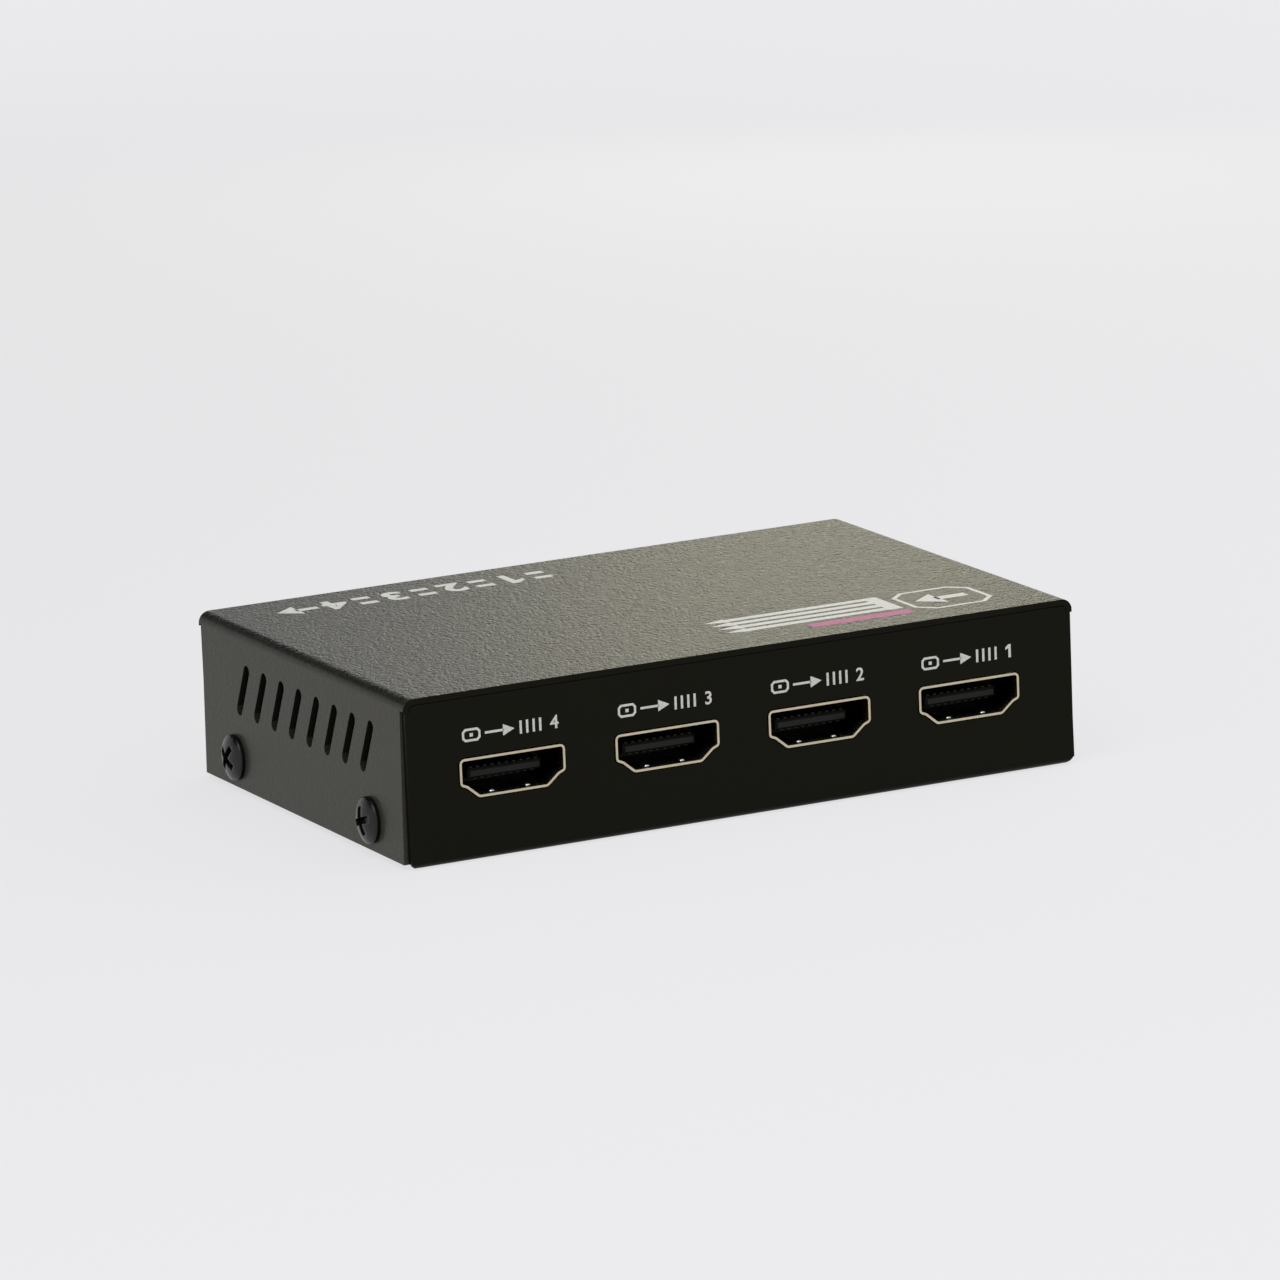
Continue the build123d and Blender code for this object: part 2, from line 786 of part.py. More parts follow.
def choke_pads():
    x = (choke_size - choke_pad_width) / 2
    pad = small_block(choke_pad_width, choke_size - 2 * choke_corner, choke_pad_thickness)
    return [Pos(side * x, 0, 0) * pad for side in (-1, 1)]


def crystal_lid():
    """The metal lid of the crystal, set in from the edges of its ceramic base."""
    size = (crystal_length - 2 * crystal_lip, crystal_width - 2 * crystal_lip, crystal_lid_height)
    return Pos(0, 0, crystal_base_height) * small_block(*size)


def from_jack(distance, y):
    """A place on the board, with its X counted from the jack's axis towards the middle."""
    return on_board(jack_x - distance, y)


def behind_sockets(row_gap, count, pitch, shape):
    """A row of the shape behind every socket, at a gap behind the legs of its contacts."""
    floor = -shell_sheet - seat_gap + solder_gap
    return [
        place * Pos(step, contact_leg_place + row_gap, floor) * shape
        for place in socket_places
        for step in row(count, pitch)
    ]


os.makedirs("parts", exist_ok=True)

save("top_cover", [cover()])
save("bottom_tray", [tray()])
side_screw = screw(side_screw_length, side_head_radius, side_head_rim, side_head_height)
save("side_screws", [side_screw_plane(side, y) * side_screw for side in (-1, 1) for y in side_screw_ys])

save("circuit_board", [board()])
save("board_standoffs", [Pos(x, y, 0) * standoff() for x, y in standoff_spots])
board_screw = screw(board_screw_length, board_head_radius, board_head_rim, board_head_height)
save("board_screws", [Pos(x, y, board_top) * board_screw for x, y in standoff_spots])

# The outputs are numbered from the right, as seen from in front of them.
output_names = [f"output_{output_count - k}" for k in range(output_count)]
shell_solid = socket_shell()
insert_solid = socket_insert()
contact_solids = socket_contacts()
for name, place in zip(output_names + ["input"], socket_places):
    save(f"{name}_socket_shell", [place * shell_solid])
    save(f"{name}_socket_insert", [place * insert_solid])
    save(f"{name}_socket_contacts", [place * contact for contact in contact_solids])

save("power_jack_body", [jack_place * jack_body()])
save("power_jack_pin", [jack_place * jack_pin()])
save("power_jack_spring", [jack_place * jack_spring()])

lights = [place_light(x) for x in light_xs]
save("power_light", lights[-1:])
save("output_lights", lights[:-1])
save("light_wires", [place * light_wire() for place in light_wire_places()])

main_spot = on_board(main_chip_x, main_chip_y)
main_sizes = (main_chip_size, main_chip_size, main_chip_height)
main_leads = lead_rows(
    *main_sizes, main_chip_lead_count, main_chip_pitch, main_lead_width, (0, 90, 180, 270)
)
save("splitter_chip", [main_spot * chip_body(*main_sizes)])
save("splitter_chip_leads", [main_spot * item for item in main_leads])

memory_sizes = (memory_length, memory_width, memory_height)
memory_spots = [on_board(x, memory_y) for x in memory_xs]
memory_rows = lead_rows(*memory_sizes, memory_lead_count, memory_pitch, small_lead_width, (0, 180))
save("memory_chips", [spot * chip_body(*memory_sizes) for spot in memory_spots])
save("memory_chip_leads", [spot * item for spot in memory_spots for item in memory_rows])

controller_spot = on_board(controller_x, controller_y)
controller_sizes = (controller_length, controller_width, controller_height)
controller_rows = lead_rows(
    *controller_sizes, controller_lead_count, controller_pitch, controller_lead_width, (0, 180)
)
save("control_chip", [controller_spot * chip_body(*controller_sizes)])
save("control_chip_leads", [controller_spot * item for item in controller_rows])

regulator_spots = [from_jack(regulator_from_jack, y) for y in regulator_ys]
regulator_body = chip_body(regulator_length, regulator_width, regulator_height)
save("regulators", [spot * regulator_body for spot in regulator_spots])
save("regulator_leads", [spot * item for spot in regulator_spots for item in regulator_leads()])

can_spots = [from_jack(distance, can_y) for distance in cans_from_jack]
choke_spot = from_jack(choke_from_jack, choke_y)
save("storage_capacitor_cans", [spot * can_body() for spot in can_spots])
save("storage_capacitor_bases", [spot * can_foot() for spot in can_spots])
save("power_choke", [choke_spot * choke_body()])
save("power_choke_pads", [choke_spot * pad for pad in choke_pads()])
crystal_base = small_block(crystal_length, crystal_width, crystal_base_height)
save("crystal_lid", [on_board(crystal_x, crystal_y) * crystal_lid()])
save("crystal_base", [on_board(crystal_x, crystal_y) * crystal_base])
fuse = small_block(fuse_length, fuse_width, fuse_height)
diode = small_block(diode_length, diode_width, diode_height)
save("input_fuse", [from_jack(fuse_from_jack, fuse_y) * fuse])
save("input_diode", [from_jack(diode_from_jack, diode_y) * diode])

guard = small_block(guard_length, guard_width, guard_height)
chip_capacitor = small_block(chip_capacitor_width, chip_capacitor_length, chip_capacitor_height)
chip_resistor = small_block(chip_resistor_width, chip_resistor_length, chip_resistor_height)
save("surge_guards", behind_sockets(guard_row_gap, guard_count, guard_spread, guard))
save("chip_capacitors", behind_sockets(capacitor_row_gap, capacitor_count, capacitor_pitch, chip_capacitor))
save("chip_resistors", behind_sockets(resistor_row_gap, resistor_count, resistor_pitch, chip_resistor))
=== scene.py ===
import json
import math

import bpy
from mathutils import Matrix, Vector


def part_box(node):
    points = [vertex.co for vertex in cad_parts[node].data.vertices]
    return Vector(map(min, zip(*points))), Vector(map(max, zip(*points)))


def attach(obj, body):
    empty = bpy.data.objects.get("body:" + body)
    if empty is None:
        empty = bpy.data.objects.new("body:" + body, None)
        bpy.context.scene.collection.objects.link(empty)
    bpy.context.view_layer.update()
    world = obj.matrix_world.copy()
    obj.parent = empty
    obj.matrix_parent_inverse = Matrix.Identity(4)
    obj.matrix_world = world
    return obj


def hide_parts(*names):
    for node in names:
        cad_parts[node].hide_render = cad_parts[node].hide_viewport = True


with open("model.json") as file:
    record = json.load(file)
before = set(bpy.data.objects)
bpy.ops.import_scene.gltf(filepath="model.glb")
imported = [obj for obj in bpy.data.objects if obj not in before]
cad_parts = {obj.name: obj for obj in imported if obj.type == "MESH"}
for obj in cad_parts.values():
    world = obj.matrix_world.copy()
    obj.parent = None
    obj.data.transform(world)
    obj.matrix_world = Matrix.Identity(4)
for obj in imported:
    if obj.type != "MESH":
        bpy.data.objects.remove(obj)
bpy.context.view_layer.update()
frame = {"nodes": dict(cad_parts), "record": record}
nodes = frame["nodes"]
scene = bpy.context.scene

MM = 0.001
OUTPUTS = {4: "output_4", 3: "output_3", 2: "output_2", 1: "output_1"}
SOCKETS = [*OUTPUTS.values(), "input"]
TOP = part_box("top_cover")[1].z  # in metres; the measures below are in millimetres

HALF_WIDTH, CASE_HEIGHT = 47.5, 21.8
WALL_SPREAD, WALL_DROP = 0.35, 21.1  # a side wall leans out by the first over the second
PANEL = 30.5  # from the middle to the face of either end panel
MOUTH_FLOOR, MOUTH_HEIGHT = 8.37, 4.55  # of the sockets
INK = 0.02  # thickness of the print
LABEL_FOOT = 15.3  # height of the marks over the outputs
SCREW_Y, SCREW_Z = 20.2, 4.6
HEAD_RADIUS, HEAD_RIM, HEAD_HEIGHT = 2.98, 0.65, 1.48

BACKDROP = (0.81, 0.81, 0.825)  # the grey behind and under the part
PAINT_TINT = (1.0, 0.95, 0.55)  # of the case's reflections


# Materials


class Surface:
    """A Principled surface with a few helpers for its node tree."""

    def __init__(self, name, color, roughness, metallic=0.0, specular=0.5, **extra):
        self.material = bpy.data.materials.new(name)
        self.material.use_nodes = True
        self.tree = self.material.node_tree
        self.shader = next(n for n in self.tree.nodes if n.type == "BSDF_PRINCIPLED")
        self.color = color
        self.roughness = roughness
        self.set("Base Color", color)
        self.set("Roughness", roughness)
        self.set("Metallic", metallic)
        self.set("Specular IOR Level", specular)
        for key, value in extra.items():
            self.set(key.replace("_", " "), value)
        self.place = self.node("ShaderNodeTexCoord").outputs["Object"]

    def node(self, kind, **settings):
        made = self.tree.nodes.new(kind)
        for key, value in settings.items():
            setattr(made, key, value)
        return made

    def feed(self, value, into):
        """Give an input a number, a colour or what another node puts out."""
        if isinstance(value, bpy.types.NodeSocket):
            self.tree.links.new(value, into)
        else:
            into.default_value = (*value, 1.0) if isinstance(value, tuple) else value

    def set(self, name, value):
        self.feed(value, self.shader.inputs[name])

    def noise(self, size_mm, detail=2.0, roughness=0.5, stretch=(1, 1, 1)):
        """Noise with lumps of about this size."""
        mapping = self.node("ShaderNodeMapping")
        mapping.inputs["Scale"].default_value = stretch
        self.feed(self.place, mapping.inputs["Vector"])
        made = self.node("ShaderNodeTexNoise")
        self.feed(1000 / size_mm, made.inputs["Scale"])
        self.feed(detail, made.inputs["Detail"])
        self.feed(roughness, made.inputs["Roughness"])
        self.feed(mapping.outputs[0], made.inputs["Vector"])
        return made.outputs[0]

    def ranged(self, value, low, high, start=0.0, end=1.0):
        """Low where the value is at the start, high where it is at the end."""
        made = self.node("ShaderNodeMapRange")
        self.feed(value, made.inputs["Value"])
        self.feed(start, made.inputs["From Min"])
        self.feed(end, made.inputs["From Max"])
        self.feed(low, made.inputs["To Min"])
        self.feed(high, made.inputs["To Max"])
        return made.outputs[0]

    def math(self, operation, first, second=0.0):
        made = self.node("ShaderNodeMath", operation=operation)
        self.feed(first, made.inputs[0])
        self.feed(second, made.inputs[1])
        return made.outputs[0]

    def blend(self, share, first, second):
        """A colour between two, each a colour or a socket."""
        made = self.node("ShaderNodeMix", data_type="RGBA")
        self.feed(share, made.inputs[0])
        self.feed(first, made.inputs[6])
        self.feed(second, made.inputs[7])
        return made.outputs[2]

    def distance(self, letter, vector):
        """The size of one coordinate of a vector."""
        made = self.node("ShaderNodeSeparateXYZ")
        self.feed(vector, made.inputs[0])
        return self.math("ABSOLUTE", made.outputs[letter])

    def lying(self):
        """One on faces that look up or down, zero on upright ones."""
        return self.distance("Z", self.node("ShaderNodeNewGeometry").outputs["True Normal"])

    def bump(self, height, depth_mm, strength):
        made = self.node("ShaderNodeBump")
        self.feed(depth_mm * MM, made.inputs["Distance"])
        self.feed(strength, made.inputs["Strength"])
        self.feed(height, made.inputs["Height"])
        self.set("Normal", made.outputs[0])

    def vary(self, size_mm, color_share=0.12, spread=0.06):
        """Slow changes of colour and roughness, as on any made surface."""
        value = self.noise(size_mm, detail=3.0)
        low = tuple(c * (1 - color_share) for c in self.color)
        high = tuple(min(1.0, c * (1 + color_share)) for c in self.color)
        self.set("Base Color", self.blend(value, low, high))
        self.set("Roughness", self.ranged(value, self.roughness - spread, self.roughness + spread))
        return self


def plain(name, color, roughness, metallic=0.0,
          size_mm=1.5, grain_mm=0.12, depth_mm=0.004, **extra):
    """A surface with slow variation and a fine grain."""
    made = Surface(name, color, roughness, metallic, **extra).vary(size_mm)
    made.bump(made.noise(grain_mm), depth_mm, 0.5)
    return made.material


def metal(name, color, roughness=0.3):
    return plain(name, color, roughness, metallic=1.0)


def case_paint(name, color, lift, specular, depth_mm, roughness):
    """Powder coat: sand and pale specks on lying faces, and a paler even tone on upright ones,
    which is painted light on the side walls.

    The pale tone is the colour plus the lift. Faces between the two, such as bends, have none,
    which leaves painted shade along the bends.
    """
    made = Surface(name, color, roughness, specular=specular, Specular_Tint=PAINT_TINT)
    sand = made.noise(0.65, detail=1.5, roughness=0.6, stretch=(1.5, 1, 1))
    made.bump(sand, depth_mm, made.ranged(made.lying(), 0.12, 1.0, start=0.85, end=1.0))
    specks = made.ranged(sand, 0.0, 1.0, start=0.45, end=0.58)
    on_lying = made.ranged(made.lying(), 0.0, 0.5, start=0.7, end=1.0)
    # painted light: upright faces (the side walls) get a paler even tone; bends get none, so they
    # show painted shade
    painted_light_upright = made.ranged(made.lying(), 0.58, 0.0, start=0.05, end=0.4)
    share = made.math("ADD", made.math("MULTIPLY", specks, on_lying), painted_light_upright)
    pale = tuple(c + more for c, more in zip(color, lift))
    made.set("Base Color", made.blend(share, color, pale))
    uneven = made.ranged(sand, roughness - 0.04, roughness + 0.04, start=0.3, end=0.7)
    made.set("Roughness", uneven)
    return made.material


def shell_surface():
    """Bright plating at the rim; inside the mouth the plating is painted duller and darker with
    depth, as painted shade.
    """
    rim_start, rim_end = 0.03035, 0.03055  # metres from the middle of the case
    dark_end, bright_start = 0.0275, 0.0302
    made = Surface("shell_metal", (0.86, 0.84, 0.78), 0.26, metallic=1.0)
    outward = made.distance("Y", made.place)
    rim = made.ranged(outward, 0.0, 1.0, rim_start, rim_end)
    # painted shade: inside the mouth the plating goes from a lighter tone near the mouth to dark
    # with depth (near, deep, inner)
    near = made.ranged(outward, 0.0, 1.0, dark_end, bright_start)
    mottle = made.noise(0.9, detail=3.0)
    deep = made.blend(mottle, (0.03, 0.029, 0.026), (0.06, 0.057, 0.05))
    inner = made.blend(made.math("POWER", near, 3.0), deep, (0.5, 0.46, 0.36))
    outer = made.blend(mottle, (0.5, 0.43, 0.3), (0.7, 0.63, 0.47))
    made.set("Base Color", made.blend(rim, inner, outer))
    made.set("Roughness", made.ranged(mottle, 0.2, 0.36))
    made.bump(made.noise(0.3, stretch=(1, 0.15, 1)), 0.003, 0.4)
    return made.material


def board_surface():
    """Green solder mask with faint copper lines under it."""
    made = Surface("board_laminate", (0.02, 0.13, 0.05), 0.34)
    lines = made.node("ShaderNodeTexWave", bands_direction="DIAGONAL")
    made.feed(160.0, lines.inputs["Scale"])
    made.feed(6.0, lines.inputs["Distortion"])
    made.feed(made.place, lines.inputs["Vector"])
    share = made.ranged(lines.outputs[1], 0.0, 1.0, start=0.55, end=0.7)
    made.set("Base Color", made.blend(share, (0.016, 0.1, 0.04), (0.028, 0.19, 0.08)))
    made.bump(share, 0.02, 0.6)
    return made.material


def lens_surface(name, color):
    """Tinted clear resin."""
    made = Surface(name, color, 0.12, Transmission_Weight=0.55, IOR=1.5)
    made.vary(1.2, 0.08, 0.03)
    made.bump(made.noise(0.8), 0.004, 0.3)
    return made.material


def ink_surface(name, color):
    """Printed ink, a little worn."""
    made = Surface(name, color, 0.55, specular=0.3)
    worn = made.noise(0.35, detail=3.0, roughness=0.7)
    high = tuple(min(1.0, c * 1.05) for c in color)
    low = tuple(c * 0.8 for c in color)
    made.set("Base Color", made.blend(made.ranged(worn, 0.0, 1.0, start=0.3, end=0.55), low, high))
    made.bump(worn, 0.01, 0.5)
    return made.material


looks = {
    "cover_paint": case_paint("cover_paint", (0.022, 0.0218, 0.019), (0.062, 0.0612, 0.053),
                              specular=0.14, depth_mm=0.25, roughness=0.29),
    # tray_paint is the cover's powder coat painted much darker: painted shade on the end panels
    "tray_paint": case_paint("tray_paint", (0.0046, 0.0046, 0.0042), (0.004, 0.004, 0.003),
                             specular=0.08, depth_mm=0.03, roughness=0.32),
    "screw_paint": plain("screw_paint", (0.007, 0.007, 0.0065), 0.26, size_mm=0.8, specular=0.34),
    "board_laminate": board_surface(),
    "standoff_steel": metal("standoff_steel", (0.62, 0.62, 0.63)),
    "board_screw_steel": metal("board_screw_steel", (0.58, 0.58, 0.6)),
    "shell_metal": shell_surface(),
    "insert_plastic": plain("insert_plastic", (0.011, 0.011, 0.01), 0.5, specular=0.25),
    # contact_metal: gold contacts painted nearly black, painted shade deep inside the mouths
    "contact_metal": metal("contact_metal", (0.05, 0.042, 0.028), 0.5),
    "jack_plastic": plain("jack_plastic", (0.022, 0.022, 0.023), 0.42),
    "jack_metal": metal("jack_metal", (0.72, 0.72, 0.71), 0.22),
    "power_lens": lens_surface("power_lens", (0.72, 0.08, 0.06)),
    "output_lens": lens_surface("output_lens", (0.1, 0.55, 0.2)),
    "wire_metal": metal("wire_metal", (0.7, 0.7, 0.7)),
    "chip_plastic": plain("chip_plastic", (0.028, 0.028, 0.03), 0.5, grain_mm=0.08),
    "lead_metal": metal("lead_metal", (0.7, 0.7, 0.7)),
    "can_aluminium": metal("can_aluminium", (0.78, 0.78, 0.79), 0.28),
    "can_base_plastic": plain("can_base_plastic", (0.03, 0.03, 0.03), 0.5),
    "choke_coating": plain("choke_coating", (0.1, 0.1, 0.105), 0.6, grain_mm=0.2, depth_mm=0.01),
    "crystal_metal": metal("crystal_metal", (0.72, 0.7, 0.62)),
    "crystal_ceramic": plain("crystal_ceramic", (0.5, 0.42, 0.33), 0.6),
    "fuse_body": plain("fuse_body", (0.25, 0.24, 0.12), 0.5),
    "diode_plastic": plain("diode_plastic", (0.03, 0.03, 0.031), 0.5),
    "guard_body": plain("guard_body", (0.05, 0.05, 0.05), 0.5),
    "capacitor_body": plain("capacitor_body", (0.45, 0.36, 0.25), 0.5),
    "resistor_body": plain("resistor_body", (0.04, 0.04, 0.045), 0.45),
}
label_ink = ink_surface("label_ink", (0.86, 0.86, 0.84))
top_ink = ink_surface("top_ink", (0.84, 0.84, 0.8))
pink_ink = ink_surface("pink_ink", (0.62, 0.2, 0.36))

for row in frame["record"]["subparts"]:
    mesh = nodes[row["node"]].data
    mesh.materials.clear()
    mesh.materials.append(looks[row["material_slot"]])


def add(name, points, faces, material, body="root"):
    """Add a mesh with its points in millimetres."""
    mesh = bpy.data.meshes.new(name)
    mesh.from_pydata([Vector(p) * MM for p in points], [], faces)
    mesh.validate()
    mesh.materials.append(material)
    made = bpy.data.objects.new(name, mesh)
    scene.collection.objects.link(made)
    if body:
        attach(made, body)
    return made


# Printed marks, each drawn in millimetres in a plane of its own


class Print:
    """Flat printed shapes, raised by the ink's thickness."""

    def __init__(self):
        self.points, self.faces = [], []

    def polygon(self, corners):
        base, n = len(self.points), len(corners)
        self.points += [(x, y, 0.0) for x, y in corners] + [(x, y, INK) for x, y in corners]
        self.faces.append([base + n + k for k in range(n)])
        for k in range(n):
            onward = (k + 1) % n
            self.faces.append([base + k, base + onward, base + n + onward, base + n + k])

    def bar(self, x0, y0, x1, y1):
        self.polygon([(x0, y0), (x1, y0), (x1, y1), (x0, y1)])

    def outline(self, x0, y0, x1, y1, width, cut):
        """A frame, with its corners cut off at 45 degrees."""
        def corners(inset):
            a0, b0, a1, b1 = x0 + inset, y0 + inset, x1 - inset, y1 - inset
            c = max(0.0, cut - inset * 0.6)
            return [(a0 + c, b0), (a1 - c, b0), (a1, b0 + c), (a1, b1 - c),
                    (a1 - c, b1), (a0 + c, b1), (a0, b1 - c), (a0, b0 + c)]
        outer, inner = corners(0.0), corners(width)
        for k in range(8):
            n = (k + 1) % 8
            self.polygon([outer[k], outer[n], inner[n], inner[k]])

    def digit(self, figure, x, y, height, bold=0.018):
        """A plain printed figure, centred on x, with its foot at y."""
        if figure == 1:
            stem, arm = 0.21 * height, 0.25 * height
            left = x - stem * 0.2
            self.bar(left, y, x + stem * 0.8, y + height)
            self.polygon([(left, y + height * 0.72), (left, y + height),
                          (left - arm, y + height * 0.78), (left - arm, y + height * 0.6)])
            return
        text = bpy.data.curves.new("figure", "FONT")
        text.body = str(figure)
        text.size = 1.0
        text.offset = bold
        text.resolution_u = 4
        holder = bpy.data.objects.new("figure", text)
        scene.collection.objects.link(holder)
        bpy.context.view_layer.update()
        mesh = bpy.data.meshes.new_from_object(holder)
        xs = [v.co.x for v in mesh.vertices]
        ys = [v.co.y for v in mesh.vertices]
        scale = height / (max(ys) - min(ys))
        middle, foot = (min(xs) + max(xs)) / 2, min(ys)
        base = len(self.points)
        self.points += [(x + (v.co.x - middle) * scale, y + (v.co.y - foot) * scale, INK)
                        for v in mesh.vertices]
        self.faces += [[base + k for k in p.vertices] for p in mesh.polygons]
        bpy.data.objects.remove(holder)
        bpy.data.curves.remove(text)
        bpy.data.meshes.remove(mesh)

    def put(self, name, matrix, material, slot):
        points = [matrix @ Vector(p) for p in self.points]
        add(name, points, self.faces, material)


def label(number, middle):
    """The mark over one output: a line from a box to an arrow, and the output's number."""
    mark = Print()
    mark.outline(-6.75, 0.0, -4.2, 1.68, width=0.3, cut=0.4)
    mark.bar(-5.7, 0.62, -5.25, 1.06)
    mark.bar(-3.6, 0.69, -1.0, 0.99)
    mark.polygon([(-1.1, 0.1), (0.5, 0.84), (-1.1, 1.58)])
    for x in (1.2, 2.1, 3.0, 3.9):
        mark.bar(x, 0.0, x + 0.32, 1.68)
    mark.digit(number, 6.0, 0.0, 1.72)
    upright = Matrix(((1, 0, 0, middle), (0, 0, -1, -PANEL), (0, 1, 0, LABEL_FOOT), (0, 0, 0, 1)))
    mark.put(f"label_{number}", upright, label_ink, "tray_paint")


for number, name in OUTPUTS.items():
    low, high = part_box(f"{name}_socket_shell")
    label(number, (low.x + high.x) / 2 / MM)


def top_plane(x, y):
    """A plane on the top whose marks read from the input side."""
    return Matrix(((-1, 0, 0, x), (0, -1, 0, y), (0, 0, 1, TOP / MM - INK * 0.5), (0, 0, 0, 1)))


def top_row():
    """The four output numbers, two bars before each, and an arrow, on the top's input side."""
    mark = Print()
    for k in range(4):
        x = 8.4 * k
        mark.bar(x, 0.4, x + 2.5, 1.6)
        mark.bar(x, 3.3, x + 2.5, 4.5)
        mark.digit(k + 1, x + 5.4, 0.0, 5.0, bold=0.04)
    mark.bar(33.2, 1.9, 36.3, 3.1)
    mark.polygon([(36.0, 0.2), (39.0, 2.5), (36.0, 4.8)])
    mark.put("top_numbers", top_plane(-0.5, 26.0), top_ink, "cover_paint")


top_row()


def branch_mark():
    """A framed arrow beside four branches and a pink bar, on the output side of the top."""
    white, pink = Print(), Print()
    white.outline(0.0, 0.0, 11.4, 10.6, width=0.6, cut=2.2)
    white.bar(2.2, 4.5, 6.6, 6.1)
    white.polygon([(6.2, 2.6), (9.6, 5.3), (6.2, 8.0)])
    white.bar(12.6, 0.0, 14.6, 7.6)
    for k in range(4):
        y = 2.05 * k
        white.bar(14.6, y, 34.6, y + 1.25)
        white.polygon([(34.6, y - 0.35), (37.8, y + 0.62), (34.6, y + 1.6)])
    pink.bar(12.6, 8.6, 27.2, 10.6)
    place = top_plane(40.0, -14.9)
    white.put("branch_mark", place, top_ink, "cover_paint")
    pink.put("branch_mark_line", place, pink_ink, "cover_paint")


branch_mark()


# Screw heads


def screw_head():
    """A domed head with a cross recess, its seat at zero; points in millimetres, +Z outwards.

    The grid's lines follow the cross. Returns the points, the smooth faces and the flat ones.
    """
    reach, arm, slope, deep = 1.8, 0.44, 0.1, 1.4  # of the recess
    half = [0.16, arm - slope, arm, 0.7, 1.05, 1.4, reach - slope, reach, 2.1, 2.4, 2.7]
    half.append(HEAD_RADIUS)
    lines = [-x for x in reversed(half)] + [0.0] + half
    dome = HEAD_HEIGHT - HEAD_RIM
    ball = (HEAD_RADIUS**2 + dome**2) / (2 * dome)

    def height(x, y):
        across, along = sorted((abs(x), abs(y)))
        z = HEAD_HEIGHT - ball + math.sqrt(max(0.0, ball**2 - x * x - y * y))
        sunk = across < arm - 0.5 * slope and along < reach - 0.5 * slope
        return (z - deep * (1.0 - 0.4 * along / reach), True) if sunk else (z, False)

    points, low = [], {}
    for i, x in enumerate(lines):
        for j, y in enumerate(lines):
            inward = HEAD_RADIUS / max(math.hypot(x, y), HEAD_RADIUS)
            z, low[i, j] = height(x * inward, y * inward)
            points.append((x * inward, y * inward, z))

    smooth, sharp = [], []
    n = len(lines)
    for i in range(n - 1):
        for j in range(n - 1):
            cells = [(i, j), (i + 1, j), (i + 1, j + 1), (i, j + 1)]
            quad = [a * n + b for a, b in cells]
            if all(math.hypot(*points[k][:2]) > HEAD_RADIUS - 1e-6 for k in quad):
                continue
            (sharp if any(low[c] for c in cells) else smooth).append(quad)

    # The rim's side and the seat, from the open border of the dome.
    edges = {(a, b) for f in smooth + sharp for a, b in zip(f, f[1:] + f[:1])}
    onward = {a: b for a, b in edges if (b, a) not in edges}
    border = [min(onward)]
    while onward[border[-1]] != border[0]:
        border.append(onward[border[-1]])
    base, count = len(points), len(border)
    points += [(points[k][0], points[k][1], 0.0) for k in border]
    for k, at in enumerate(border):
        smooth.append([at, base + k, base + (k + 1) % count, border[(k + 1) % count]])
    sharp.append([base + k for k in reversed(range(count))])
    return points, smooth, sharp


def side_screw_heads():
    """The four heads on the leaning side walls, each with its cross at another angle."""
    first_turn, second_turn = 18, 55  # in degrees
    lean = math.atan(WALL_SPREAD / WALL_DROP)
    x = HALF_WIDTH + WALL_SPREAD * (CASE_HEIGHT - SCREW_Z) / WALL_DROP
    head_points, smooth, sharp = screw_head()
    head_faces = smooth + sharp
    points, faces = [], []
    for side in (-1, 1):
        for y, degrees in ((-SCREW_Y, first_turn), (SCREW_Y, second_turn)):
            out = Vector((side * math.cos(lean), 0, math.sin(lean)))
            up = out.cross(Vector((0, 1, 0))).normalized()
            along = up.cross(out)
            turn = Matrix.Rotation(math.radians(degrees), 3, out)
            basis = turn @ Matrix((along, up, out)).transposed()
            seat = Vector((side * x, y, SCREW_Z))
            base = len(points)
            points += [tuple(seat + basis @ Vector(p)) for p in head_points]
            faces += [[base + i for i in f] for f in head_faces]
    made = add("side_screw_heads", points, faces, looks["screw_paint"])
    for k, polygon in enumerate(made.data.polygons):
        polygon.use_smooth = k % len(head_faces) < len(smooth)
    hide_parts("side_screws")


side_screw_heads()


# Details of the case and the sockets


def edge_films():
    """Thin sheets in the end panels' darkened paint on the cut edges of the cover, at both ends:
    painted shade on those edges.
    """
    corner_x, corner_z = 46.0, 20.3  # middle of the bend between the top and a side wall
    outer, inner = 1.5, 0.7  # the bend's radii
    gap, film = 0.3, 0.02  # reach below the bend, thickness

    profile = []
    for side, degrees in ((1, range(0, 91, 15)), (-1, range(90, -1, -15))):
        bend = []
        for t in map(math.radians, degrees):
            bend += [(side * (corner_x + r * math.cos(t)), corner_z + r * math.sin(t))
                     for r in (outer, inner)]
        foot = [(side * (corner_x + r), corner_z - gap) for r in (outer, inner)]
        profile += foot + bend if side == 1 else bend + foot

    points, faces = [], []
    for end in (-1, 1):
        for depth in (0.0, film):
            points += [(x, end * (PANEL + depth), z) for x, z in profile]
    count = len(profile)
    for start in (0, 2 * count):
        for k in range(0, count - 2, 2):
            a, b, c, d = (start + k + i for i in (0, 1, 3, 2))
            faces.append([i + count for i in (a, b, c, d)])
            faces.append([a, d, d + count, a + count])
            faces.append([b, c, c + count, b + count])
    # painted shade: the cut edges at the bends are covered in the panels' darkened paint
    add("cover_edge_painted_shade", points, faces, looks["tray_paint"])


edge_films()


